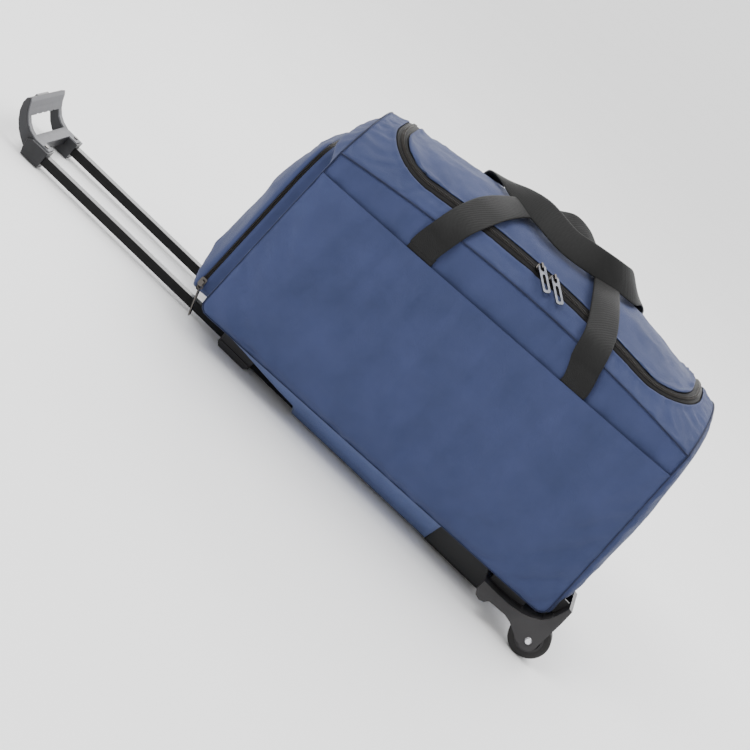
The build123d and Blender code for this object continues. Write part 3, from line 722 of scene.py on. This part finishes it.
def top_fabric():
    centre = (-6.0, -6.0)
    hole = opening(TAPE)
    angles = [math.atan2(p[1] - centre[1], p[0] - centre[0]) for p in hole]
    spokes = [(a, math.hypot(p[0] - centre[0], p[1] - centre[1])) for a, p in zip(angles, hole)]
    for x in (END_H, TOP_W):
        for y in (-HALF_D, HALF_D):
            corner = math.atan2(y - centre[1], x - centre[0])
            near = sorted(spokes, key=lambda s: abs(s[0] - corner))[:2]
            spokes.append((corner, (near[0][1] + near[1][1]) / 2))
    spokes.sort()
    fine = [0, 0.02, 0.04, 0.07, 0.11, 0.16, 0.23, 0.31, 0.4, 0.5, 0.6, 0.7, 0.8, 0.87, 0.92, 0.96, 0.98, 1]
    points, held, relief = [], [], []
    for f in fine:
        for angle, inner in spokes:
            outer = ray_to_box(angle, centre)
            r = lerp(outer, inner, f)
            x = centre[0] + r * math.cos(angle)
            y = centre[1] + r * math.sin(angle)
            points.append(on_top(x, y))
            edge = min(HALF_D - abs(y), x - END_H, TOP_W - x)
            hem = (outer - inner) * (1 - f)
            held.append(1.0 if f in (0, 1) else 0.25)
            rear = y > ZIP_B - 2
            fold = 0.0 if rear else 0.9 * math.exp(-((hem - 2.5) / 2.5) ** 2)
            relief.append(pucker(edge, x + y, 21.0) - groove(edge) + fold
                          + crease(x, y * 2, 22.0, 2.2) * min(1, edge / 25, hem / 12))
    piece = add_mesh("top_fabric", points, quads(len(fine), len(spokes), closed=True), BLUE_TOP, "bag")
    relax(piece, held, 0.012, 0.3, 3.0)
    press(piece, relief)
    thicken(piece)
    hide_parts("top_panel")


def lid_fabric():
    """The lid, with a slightly raised margin running past its rear edge."""
    left, right, front_y = ZIP_L + TAPE, ZIP_R - TAPE, ZIP_F + TAPE
    radius = ZIP_CORNER - TAPE
    rows = [front_y + d for d in (0, 0.8, 2, 4, 7, 11, 16, 22)]
    rows += [lerp(front_y + 28, ZIP_B - 14, i / 24) for i in range(25)]
    rows += [ZIP_B - 9, ZIP_B - 5, ZIP_B - 2, ZIP_B, ZIP_B + 3, ZIP_B + 6]
    points, held, relief = [], [], []
    width = right - left
    across = stops(width, 7.0)
    for y in rows:
        drop = max(0.0, front_y + radius - y)
        inset = radius - math.sqrt(max(0.0, radius ** 2 - drop ** 2))
        for a in across:
            x = lerp(left + inset, right - inset, a / width)
            margin = 0.5 * max(0.0, min(1.0, (y - ZIP_B) / 2))
            points.append(on_top(x, min(y, 100), margin))
            side_gap = min(x - left - inset, right - inset - x)
            edge = min(side_gap, y - front_y) if y < ZIP_B - 1 else side_gap
            held.append(1.0 if edge < 1.0 or y > ZIP_B - 6 else 0.1)
            fold = 0.9 * math.exp(-((edge - 2.5) / 2.5) ** 2)
            relief.append((fold + pucker(edge, x + y, 31.0) + crease(x, y * 2, 33.0, 2.6)
                           * min(1, edge / 25)) * min(1.0, max(0.0, (ZIP_B - y) / 10)))
    piece = add_mesh("lid_fabric", points, quads(len(rows), len(across)), BLUE_TOP, None)
    relax(piece, held, 0.022, 0.35, 3.5)
    press(piece, relief)
    thicken(piece)
    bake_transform(piece)
    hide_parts("lid_panel")


top_fabric()
lid_fabric()

# ---------------------------------------------------------------- seam binding
def long_seam(sign):
    """Closed line of the seam round a long side."""
    y = sign * (HALF_D + 0.2)
    route = []
    for i in range(0, 61):
        x = lerp(END_H, END_W, i / 60)
        route.append(soften(x, base(x)))
    for i in range(1, 30):
        z = lerp(base(END_W), seam(TOP_W), i / 30)
        route.append(soften(wheel_edge(z), z))
    for i in range(0, 61):
        x = lerp(TOP_W, END_H, i / 60)
        route.append((x, seam(x)))
    for i in range(1, 30):
        z = lerp(seam(END_H), BASE_H, i / 30)
        route.append(soften(END_H, z))
    return [(x, y, z) for x, z in route]


bindings = [tube(n, long_seam(s), 1.15, BINDING, "bag", closed=True)
            for n, s in (("front_seam_binding", -1), ("rear_seam_binding", 1))]
for n, x in (("handle_end_top_binding", END_H), ("wheel_end_top_binding", TOP_W)):
    arch = [(x, y, top_z(x, y) - 0.2) for y in [lerp(-HALF_D, HALF_D, i / 60) for i in range(61)]]
    bindings.append(tube(n, arch, 1.1, BINDING, "bag"))
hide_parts("seam_piping")


# ---------------------------------------------------------------- rail sleeve
def sleeve():
    """Fabric sleeve round the rails; its mouth is cut on a slant."""
    outline = [(-131.5, 44.0), (-118, 36), (-96, 20), (-78, 7), (-70, 3.2), (-60, 2.2), (-30, 2.6),
               (0, 2.9), (30, 2.6), (60, 2.2), (70, 3.2), (78, 7), (96, 20), (118, 36), (131.5, 44.0)]
    smooth = []
    for a, b in zip(outline, outline[1:]):
        for k in range(5):
            smooth.append((lerp(a[0], b[0], k / 5), lerp(a[1], b[1], k / 5)))
    smooth.append(outline[-1])
    rows = 40
    points, relief = [], []
    for i in range(rows + 1):
        t = i / rows
        for y, z in smooth:
            high = max(0.0, (z - 20) / 24)
            start = lerp(-110, -222, high ** 0.7) if z > 20 else -104 - (z - 2) * 0.33
            x = lerp(start, 117.0, t)
            lift = base(x) - 45.0
            rise = max(0.0, z - 8) / 36
            points.append((x, y, z + lift * rise + 3.0 * t * (1 - rise)))
            hem = min(t, 1 - t) * 221
            slack = min(1, hem / 15) * rise * (1 - rise) * 3
            relief.append(0.5 * math.exp(-((hem - 2) / 3) ** 2) + crease(x, y, 41.0, 0.9) * slack)
    # The sleeve takes the lighter blue, with painted floor-bounce light in its colour.
    piece = add_mesh("rail_sleeve_fabric", points, quads(rows + 1, len(smooth)), BLUE_BOUNCE_LIT, "bag")
    press(piece, relief)
    thicken(piece, 1.2)
    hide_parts("rail_sleeve")


sleeve()


# ---------------------------------------------------------------- end pocket
def pod_outline(step=5.0, closed=True):
    """End pocket's outline in (y, z), up one side, over the top and down the other."""
    half, top, low, radius, foot = POD_Y, POD_Z1, POD_Z0, POD_R, 14.0
    points = []
    for sense in (-1, 1):
        leg = []
        for i in range(8):
            angle = math.pi / 2 * i / 7
            leg.append((sense * (half - foot + foot * math.sin(angle)), low + foot * (1 - math.cos(angle))))
        count = round((top - radius - low - foot) / step)
        for i in range(1, count + 1):
            leg.append((sense * half, lerp(low + foot, top - radius, i / count)))
        for i in range(1, 19):
            angle = math.pi / 2 * i / 18
            leg.append((sense * (half - radius + radius * math.cos(angle)),
                        top - radius + radius * math.sin(angle)))
        points.append(leg)
    left, right = points
    run = right[-1][0] - left[-1][0]
    count = round(run / step)
    over = [(left[-1][0] + run * i / count, top) for i in range(1, count)]
    under = [(lerp(right[0][0], left[0][0], i / 40), low) for i in range(1, 40)]
    return left + over + right[::-1] + (under if closed else [])


def pod_rings(name, rings, finish, body, seed, size, cap_centre=None):
    """Sheet through rings, each (inset, x)."""
    shapes = [[(x, y, z) for y, z in resample(pod_outline(), inset)] for inset, x in rings]
    points = [p for ring in shapes for p in ring]
    count = len(shapes[0])
    faces = quads(len(shapes), count, closed=True)
    relief = []
    for k, (inset, x) in enumerate(rings):
        for p in shapes[k]:
            relief.append(crease(p[1], p[2], seed, size) * min(1.0, inset / 20))
    if cap_centre is not None:
        points.append((cap_centre, 0.0, POD_MID_Z))
        relief.append(crease(0, POD_MID_Z, seed, size))
        last = (len(shapes) - 1) * count
        faces += [(last + k, last + (k + 1) % count, len(points) - 1) for k in range(count)]
    piece = add_mesh(name, points, faces, finish, body)
    press(piece, relief)
    return piece


def resample(outline, inset):
    """Outline drawn in towards the pocket's middle by `inset`."""
    drawn = []
    for y, z in outline:
        k = max(0.0, 1 - inset / math.hypot(y, z - POD_MID_Z))
        drawn.append((y * k, POD_MID_Z + (z - POD_MID_Z) * k))
    return drawn


# each ring: how far in from the outline, and its X
WALL = [(-1.5, -271.8), (-0.4, -273.5), (0, -276), (-0.5, -282), (-1.0, -286.8), (-0.2, -287.7)]
gusset = pod_rings("end_pocket_gusset_fabric", WALL, BLUE, "bag", 51.0, 0.3)
thicken(gusset, 1.0)
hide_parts("end_pocket_gusset")
DOME = [(-0.2, -292.3), (-1.0, -293.2), (-1.0, -295.0), (-0.3, -296.6), (1.5, -298.0), (5, -299.6),
        (10, -301.4), (16, -303.3), (24, -305.6), (34, -308.2), (45, -310.6), (57, -312.6),
        (70, -314.2), (84, -315.4), (98, -316.1)]
flap = pod_rings("end_pocket_flap_fabric", DOME, BLUE, "pocket_flap", 53.0, 3.4, -316.3)
thicken(flap, 1.1)
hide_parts("end_pocket_flap")

ZIP_MID = -290.0
fold_line = [(ZIP_MID, lerp(-99, 99, i / 30), POD_Z0) for i in range(31)]
fold = tube("end_pocket_hinge_fold", fold_line, 2.7, BLUE, "bag")

# across from the zip's middle, and height: coil ridge, then tape that runs under the fabric
POD_PROFILE = [(0.4, -0.8), (0.45, 0.3), (1.0, 0.8), (2.0, 0.8), (2.5, 0.1), (3.2, -0.6), (5.0, -1.0),
               (7.0, -1.2)]
for tape_name, sense, body, node in (("end_zip_body_side_tape", 1, "bag", "end_zip_fixed_tape"),
                                     ("end_zip_flap_side_tape", -1, "pocket_flap", "end_zip_flap_tape")):
    lines = []
    for across, lift in POD_PROFILE:
        ring = resample(pod_outline(closed=False), -lift)
        lines.append([Vector((ZIP_MID + sense * across, y, z)) for y, z in ring])
    flat_tape(tape_name, lines, body, node)
    edges = []
    for across in (0.15, 2.2):
        ring = resample(pod_outline(closed=False), -0.7)
        edges.append([Vector((ZIP_MID + sense * across, y, z)) for y, z in ring])
    coil_teeth(tape_name + "_teeth", edges, body, shift=0.95 if sense > 0 else 0.0)


# ---------------------------------------------------------------- carry webbing
def smooth_line(points, per_span=8):
    """Catmull-Rom line through points."""
    padded = [2 * points[0] - points[1]] + points + [2 * points[-1] - points[-2]]
    line = []
    for a, b, c, d in zip(padded, padded[1:], padded[2:], padded[3:]):
        for k in range(per_span):
            t = k / per_span
            line.append(0.5 * (2 * b + (c - a) * t + (2 * a - 5 * b + 4 * c - d) * t * t
                               + (3 * b - a - 3 * c + d) * t ** 3))
    return line + [points[-1]]


def ribbon(name, edge_a, edge_b, body, node, arch=0.7):
    """Webbing between two edges, with a slight arch across and rounded selvedges."""
    a_line, b_line = smooth_line(edge_a), smooth_line(edge_b)
    across = [0.0, 0.03, 0.08, 0.2, 0.35, 0.5, 0.65, 0.8, 0.92, 0.97, 1.0]
    points, relief = [], []
    for i, (a, b) in enumerate(zip(a_line, b_line)):
        for t in across:
            points.append(a.lerp(b, t))
            selvedge = min(t, 1 - t)
            relief.append(arch * math.sin(math.pi * t) - 0.5 * math.exp(-selvedge / 0.03)
                          + 0.35 * noise.noise(Vector((i * 0.13, t * 2.2, 61.0))))
    piece = add_mesh(name, points, quads(len(a_line), len(across)), WEBBING, body)
    press(piece, relief)
    thicken(piece, STRAP_T, 0.0)
    if node:
        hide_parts(node)
    return piece


def on_side(x, z, off, sign=-1):
    return Vector((x, sign * (HALF_D + off), z))


FRONT_A = [on_side(-143, 277.5, 4.6), on_side(-143, 285, 6.4), on_side(-142, 295, 7.5),
           on_side(-139, 311, 6.8), on_top(-133, -116, 5), on_top(-123, -86, 5), on_top(-112, -64, 5),
           on_top(-96, -37, 5), on_top(-78, -10, 6), Vector((-60, 10, 388)), Vector((-42, 22, 395)),
           Vector((-22, 26, 405)), Vector((2, 24, 404)), Vector((24, 14, 396)), on_top(50, 8, 7),
           on_top(66, -6, 5), on_top(75, -28, 5), on_top(91, -68, 5), on_top(106, -101, 5),
           on_top(113, -124, 6), on_side(119, 319, 7.5), on_side(124, 304, 7.5), on_side(127, 291, 6.4),
           on_side(127, 284, 4.0), on_side(127, 277.5, 2.6)]
FRONT_B = [on_side(-107, 277.5, 4.6), on_side(-107, 284, 6.4), on_side(-106, 292, 7.5),
           on_side(-104, 303, 7.2), on_top(-97, -126, 6), on_top(-84, -95, 5), on_top(-76, -76, 5),
           on_top(-65, -54, 5), on_top(-50, -34, 5), on_top(-34, -14, 6), on_top(-20, -4, 8),
           on_top(-8, 2, 9), on_top(6, 2, 9), on_top(16, -8, 8), on_top(26, -20, 6), on_top(34, -32, 5),
           on_top(40, -44, 5), on_top(51, -75, 5), on_top(66, -108, 5), on_top(73, -126, 6.5),
           on_side(79, 317, 7.5), on_side(86, 303, 7.5), on_side(91, 291, 6.4), on_side(92, 284, 4.0),
           on_side(92, 277.5, 2.6)]
REAR_A = [on_side(-142, 277.5, 7.4, 1), on_side(-142, 294, 7.6, 1), on_side(-142, 312, 6.6, 1),
          on_top(-141, 112, 5), on_top(-138, 70, 4.5), on_top(-132, 36, 4), on_top(-117, 5, 2.8),
          Vector((-94, -28, 375.5)), Vector((-57, -51, 377.5)), Vector((-16, -62, 375.5)),
          Vector((11, -61, 376.5)), Vector((41, -52, 380)), Vector((74, -34, 383)), Vector((102, -4, 381)),
          on_top(110, 26, 4), on_top(122, 72, 4.5), on_top(128, 112, 5), on_side(128, 312, 6.6, 1),
          on_side(128, 294, 7.6, 1), on_side(128, 277.5, 7.4, 1)]
REAR_B = [on_side(-106, 277.5, 7.4, 1), on_side(-106, 294, 7.6, 1), on_side(-106, 314, 6.6, 1),
          on_top(-106, 112, 5), on_top(-111, 68, 4), on_top(-117, 34, 4), Vector((-103, 4, 385)),
          Vector((-82, -10, 396)), Vector((-54, -24, 404)), Vector((-12, -38, 403)), Vector((12, -40, 407)),
          Vector((38, -38, 411)), Vector((60, -20, 411)), Vector((74, 4, 407)), Vector((88, 30, 390)),
          on_top(92, 74, 4.5), on_top(92, 112, 5), on_side(92, 313, 6.6, 1), on_side(92, 294, 7.6, 1),
          on_side(92, 277.5, 7.4, 1)]
front_loop = ribbon("front_loop_webbing", FRONT_A, FRONT_B, "front_handle", "front_handle_webbing")
rear_loop = ribbon("rear_loop_webbing", REAR_A, REAR_B, "rear_handle", "rear_handle_webbing")
for loop, y in ((front_loop, -HALF_D - 11), (rear_loop, HALF_D + 11)):
    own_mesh(loop)


def tails(sign, name, node):
    """Sewn ends of a loop, with a boxed cross of stitches."""
    for side_label, x in (("left", -124.0), ("right", 110.0)):
        off, low, high = (2.0 if sign < 0 else 6.4), pocket_edge(x) - 38, 282.0
        rise = 2.6 if sign < 0 and x < 0 else 0.8
        edge_a, edge_b = ([on_side(x + side_step, lerp(low, high, k / 3), off + rise * (k / 3) ** 3, sign)
                           for k in range(4)] for side_step in (-18, 18))
        ribbon(f"{name}_{side_label}", edge_a, edge_b, "bag", None, arch=0.3)
        box = [(x - 13, low + 5), (x + 13, low + 5), (x + 13, low + 31), (x - 13, low + 31)]
        runs = list(zip(box, box[1:] + box[:1])) + [(box[0], box[2]), (box[1], box[3])]
        points, faces = [], []
        for (x0, z0), (x1, z1) in runs:
            count = round(math.hypot(x1 - x0, z1 - z0) / 3.4)
            for k in range(count):
                start, stop = (Vector((lerp(x0, x1, t), lerp(z0, z1, t)))
                               for t in ((k + 0.15) / count, (k + 0.85) / count))
                side_step = (stop - start).orthogonal().normalized() * 0.4
                first = len(points)
                y = sign * (HALF_D + off + 1.3)
                for at, depth in ((start, 0), (start.lerp(stop, 0.5), 0.45), (stop, 0)):
                    for turn in (-1, 1):
                        points.append((at.x + turn * side_step.x, y + sign * depth,
                                       at.y + turn * side_step.y))
                faces += [tuple(first + k for k in corners) for corners in ((0, 2, 3, 1), (2, 4, 5, 3))]
        thread = add_mesh(f"{name}_{side_label}_stitches", points, faces, BINDING, "bag")
        thicken(thread, 0.5)
    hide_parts(node)


tails(-1, "front_tail", "front_strap_tails")
tails(1, "rear_tail", "rear_strap_tails")


# ---------------------------------------------------------------- stage, light and camera
def area_light(name, place, aim, size, power):
    data = bpy.data.lights.new(name, "AREA")
    data.shape = "RECTANGLE"
    data.size, data.size_y = size
    data.energy = power
    lamp = bpy.data.objects.new(name, data)
    lamp.location = place
    lamp.rotation_euler = (Vector(aim) - Vector(place)).to_track_quat("-Z", "Y").to_euler()
    bpy.context.scene.collection.objects.link(lamp)


floor_data = bpy.data.meshes.new("floor")
FLOOR = 30.0
floor_data.from_pydata([(-FLOOR, -FLOOR, 0), (FLOOR, -FLOOR, 0), (FLOOR, FLOOR, 0), (-FLOOR, FLOOR, 0)], [],
                       [(0, 1, 2, 3)])
floor = bpy.data.objects.new("floor", floor_data)
floor.location.z = -0.0004
pale = Nodes("pale floor", 0.85, specular=0.1)
pale.colour(pale.ramp(pale.noise(3.0), srgb(250, 250, 250), srgb(253, 253, 253)))
floor_data.materials.append(pale.material)
bpy.context.scene.collection.objects.link(floor)

scene_world = bpy.data.worlds.new("studio")
bpy.context.scene.world = scene_world
scene_world.use_nodes = True
sky = scene_world.node_tree.nodes["Background"]
sky.inputs["Color"].default_value = (1.0, 1.0, 1.0, 1.0)


def sky_strength():
    """Even studio sky with a bright low panel behind the bag."""
    tree = scene_world.node_tree
    place = tree.nodes.new("ShaderNodeTexCoord").outputs["Generated"]
    toward = tree.nodes.new("ShaderNodeVectorMath")
    toward.operation = "DOT_PRODUCT"
    toward.inputs[1].default_value = (0.0, 0.92, 0.39)
    tree.links.new(place, toward.inputs[0])
    spread = tree.nodes.new("ShaderNodeMapRange")
    spread.interpolation_type = "SMOOTHSTEP"
    spread.inputs["From Min"].default_value = 0.84
    spread.inputs["From Max"].default_value = 0.97
    spread.inputs["To Min"].default_value = 1.25
    spread.inputs["To Max"].default_value = 6.0
    tree.links.new(toward.outputs["Value"], spread.inputs["Value"])
    tree.links.new(spread.outputs[0], sky.inputs["Strength"])


sky_strength()
area_light("key", (-1.5, -1.9, 2.6), (0.1, 0, 0.2), (1.3, 1.3), 58)
area_light("top", (0.4, 0.5, 2.6), (0.1, 0, 0.2), (2.2, 1.8), 48)

# camera in bag millimetres: eye, and its right, down and forward directions
EYE = (-93.1, -2388.0, 791.9)
RIGHT = Vector((0.72081, 0.18685, 0.66747))
DOWN = Vector((0.69303, -0.21093, -0.68937))
FORWARD = Vector((0.01198, 0.95948, -0.28153))
camera_data = bpy.data.cameras.new("camera")
camera_data.sensor_width = 36.0
camera_data.lens = 96.02
camera_data.clip_end = 100.0
camera = bpy.data.objects.new("camera", camera_data)
turn = Matrix((RIGHT, -DOWN, -FORWARD)).transposed().to_4x4()
camera.matrix_world = Matrix.Translation(world(EYE)) @ turn
bpy.context.scene.collection.objects.link(camera)
bpy.context.scene.camera = camera
